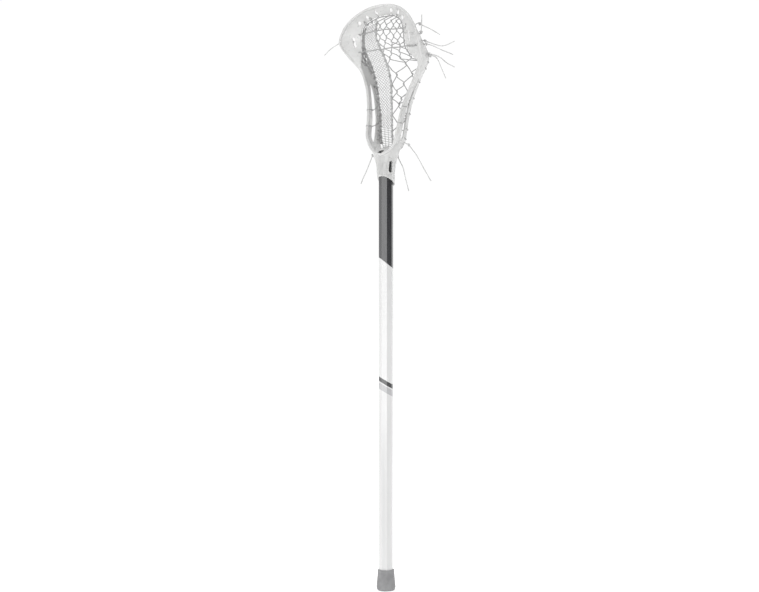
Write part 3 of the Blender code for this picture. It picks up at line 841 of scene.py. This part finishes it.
def make_edge_strings():
    bm = bmesh.new()
    twisted_into(bm, TOP_LINE[::2], 0.0011, 0.004)
    for x in (-0.040, -0.030, -0.018, -0.008, 0.006, 0.018, 0.031):
        nearest = min(TOP_LINE, key=lambda p: abs(p.x - x))
        hole = Vector((nearest.x * 1.03, nearest.y - 0.0045, nearest.z + 0.0055))
        loop = []
        for k in range(16):
            a = 2 * math.pi * k / 16
            loop.append(nearest.lerp(hole, 0.5 - 0.62 * math.cos(a)) + Vector((0.0018 * math.sin(a), 0, 0)))
        tube_into(bm, loop, 0.0007, 6, closed=True)
    obj = finish_mesh("top_string_cord", bm, CORD_GREY)
    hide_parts("top_string")
    for side, word in ((1, "right"), (-1, "left")):
        bm = bmesh.new()
        path = [flip(inner_line(3.0 + 0.15 * i), side) for i in range(61)]
        twisted_into(bm, path, 0.0011, 0.004)
        for t in (3.4, 4.3, 5.2, 6.1, 7.0, 7.9, 8.6):
            _, rail, _, along, inward = wall_frame(t)
            loop = []
            for k in range(18):
                a = 2 * math.pi * k / 18
                spot = rail - along * (0.0028 + 0.0046 * math.cos(a))
                spot += inward * (0.0014 + 0.0030 * math.sin(a))
                spot += Vector((0, 0, 0.0016 * math.cos(a)))
                loop.append(flip(spot, side))
            tube_into(bm, loop, 0.0008, 6, closed=True)
        for t in (4.55, 5.55):
            rim, _, _, along, inward = wall_frame(t)
            loop = []
            for k in range(20):
                a = 2 * math.pi * k / 20
                spot = rim + along * (0.0062 + 0.0072 * math.cos(a))
                spot += inward * (0.0012 + 0.0042 * math.sin(a))
                loop.append(flip(spot, side))
            tube_into(bm, loop, 0.0008, 6, closed=True)
            start = flip(rim + along * 0.0134 + inward * 0.0014, side)
            end = flip(inner_line(t + 0.28), side)
            twisted_into(bm, [start, start.lerp(end, 0.5) + Vector((0, 0, -0.0008)), end], 0.0010, 0.004)
        obj = finish_mesh("sidewall_lacing_" + word, bm, CORD_GREY)
        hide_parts("sidewall_string_" + word)


def make_shooting_strings():
    ends = {"shooting_string_upper": ((0.0600, -0.0175, 1.0465),),
            "shooting_string_lower": ((0.0690, -0.0124, 1.0030), (0.0775, -0.0142, 1.0036),
                                      (0.0790, -0.0112, 1.0038))}
    for name, t in (("shooting_string_upper", 12.7), ("shooting_string_lower", 10.3)):
        centre, half, across = runner_frame(t)
        edge = inner_line(t)
        front = Vector((0, -0.0046, 0))
        reach = Vector((edge.x + 0.006, edge.y - 0.0045, edge.z))
        route = [flip(reach, -1), centre - across * (half + 0.003) + front, centre + front,
                 centre + across * (half + 0.003) + front,
                 (centre + across * half).lerp(reach, 0.55) + front, reach]
        route += [Vector(p) for p in ends[name]]
        line = sampled(route, 80)
        for i, point in enumerate(line):
            point.y += 0.0006 * math.sin(i * 0.9)
            point.z += 0.0004 * math.sin(i * 0.55)
        bm = bmesh.new()
        twisted_into(bm, line, 0.0012, 0.0035, 3)
        obj = finish_mesh(name + "_lace", bm, CORD_GREY)
        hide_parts(name)
    bm = bmesh.new()
    twisted_into(bm, [Vector(p) for p in PANEL_STRING], 0.0010, 0.004)
    finish_mesh("panel_string", bm, CORD)


def wall_point_near(point):
    """Nearest point in the head's side walls, where a knotted string comes out."""
    best = None
    side = 1 if point.x > 0 else -1
    for i in range(171):
        rim, rail, _, _, _ = wall_frame(i / 10)
        for f in (0.2, 0.35, 0.5, 0.65, 0.8, 0.95):
            spot = flip(rim.lerp(rail, f), side)
            if best is None or (spot - point).length < (best - point).length:
                best = spot
    return best


def make_tails():
    knots = bmesh.new()
    for name, route in TAILS.items():
        points = sampled(route, 24)
        bm = bmesh.new()
        tube_into(bm, points, STRING * 0.95, 8)
        tail = finish_mesh(name + "_cord", bm, CORD)
        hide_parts(name)
    for k, name in enumerate(TAILS):
        start = Vector(TAILS[name][0])
        ahead = (Vector(TAILS[name][1]) - start).normalized()
        root = wall_point_near(start)
        middle = start.lerp(root, 0.5) + Vector((0, 0, 0.0012 * (-1) ** k))
        tube_into(knots, sampled([start, middle, root], 7), 0.0009, 7)
        knot_into(knots, start + ahead * 0.0022, 0.0028, 0.0009, 0.7 * k)
    finish_mesh("string_knots", knots, CORD)


# ---------------------------------------------------------------- studio
def facing(tree, direction, low, high, levels):
    """Brightness that changes smoothly with how far the sky's direction is from the given one."""
    coords = tree.nodes.new("ShaderNodeTexCoord")
    dot = tree.nodes.new("ShaderNodeVectorMath")
    dot.operation = "DOT_PRODUCT"
    dot.inputs[1].default_value = direction
    tree.links.new(coords.outputs["Generated"], dot.inputs[0])
    spread = tree.nodes.new("ShaderNodeMapRange")
    spread.interpolation_type = "SMOOTHSTEP"
    spread.inputs["From Min"].default_value = low
    spread.inputs["From Max"].default_value = high
    spread.inputs["To Min"].default_value = levels[0]
    spread.inputs["To Max"].default_value = levels[1]
    tree.links.new(dot.outputs["Value"], spread.inputs["Value"])
    return spread.outputs["Result"]


def make_world(back, right):
    """White behind the stick, paler on the viewer's side, with one dark flag at the right."""
    world = bpy.data.worlds.new("studio")
    world.use_nodes = True
    tree = world.node_tree
    sky = facing(tree, -back, -0.55, 0.40, (0.66, 1.02))
    flag = facing(tree, back * 0.5 + right * 0.866, 0.55, 0.93, (1.0, 0.22))
    both = tree.nodes.new("ShaderNodeMath")
    both.operation = "MULTIPLY"
    tree.links.new(sky, both.inputs[0])
    tree.links.new(flag, both.inputs[1])
    tree.links.new(both.outputs["Value"], tree.nodes["Background"].inputs["Strength"])
    tree.nodes["Background"].inputs["Color"].default_value = (1, 1, 1, 1)
    bpy.context.scene.world = world


def make_floor():
    bm = bmesh.new()
    bmesh.ops.create_grid(bm, x_segments=1, y_segments=1, size=22)
    mesh = bpy.data.meshes.new("floor")
    bm.to_mesh(mesh)
    bm.free()
    floor = bpy.data.objects.new("floor", mesh)
    floor.location = (0, 0, -0.0006)
    bpy.context.scene.collection.objects.link(floor)
    look, _, shader = new_look("pale_floor")
    shader.inputs["Base Color"].default_value = (0.86, 0.86, 0.86, 1)
    shader.inputs["Roughness"].default_value = 0.9
    shader.inputs["Emission Color"].default_value = (1, 1, 1, 1)
    shader.inputs["Emission Strength"].default_value = 0.50
    mesh.materials.append(look)


def make_studio():
    bpy.context.scene.view_settings.view_transform = "Standard"
    back = Vector((math.sin(VIEW_TURN), -math.cos(VIEW_TURN), 0))
    right = Vector((math.cos(VIEW_TURN), math.sin(VIEW_TURN), 0))
    make_world(back, right)
    make_floor()
    places = (("key", back * 2.06 - right * 1.30 + Vector((0, 0, 0.95)), (0.9, 2.2), 18),
              ("fill", -back * 0.1 + right * 2.3 + Vector((0, 0, 1.1)), (0.9, 1.6), 12),
              ("top", back * 0.5 - right * 0.3 + Vector((0, 0, 2.6)), (1.2, 1.2), 8))
    for name, spot, size, power in places:
        data = bpy.data.lights.new(name, "AREA")
        data.shape = "RECTANGLE"
        data.size, data.size_y = size
        data.energy = power
        lamp = bpy.data.objects.new(name, data)
        lamp.location = spot
        aim = Vector((0, 0, 0.8)) - spot
        lamp.rotation_euler = aim.to_track_quat("-Z", "Y").to_euler()
        bpy.context.scene.collection.objects.link(lamp)


make_camera()
make_tails()
make_studio()
make_head()
paint_node("shaft", SHAFT)
paint_node("end_cap", RUBBER)
make_screw()
make_runner()
make_braid(-1, "runner_braid_left")
make_braid(1, "runner_braid_right")
make_lattice(1, "lattice_right", 4.0, 13.95,
             lambda t: 4 if t > 11.2 else 3 if t > 8.4 else 2 if t > 5.8 else 1, CORD_GREY, 0.0009, 0.0015)
# The left lattice takes the darker cord as painted shade; the right one takes the grey cord.
make_lattice(-1, "lattice_left", 4.0, 13.4,
             lambda t: 2 if t > 6.5 else 1, CORD_PAINTED_SHADE, 0.0010, 0.0024)
make_edge_strings()
make_shooting_strings()
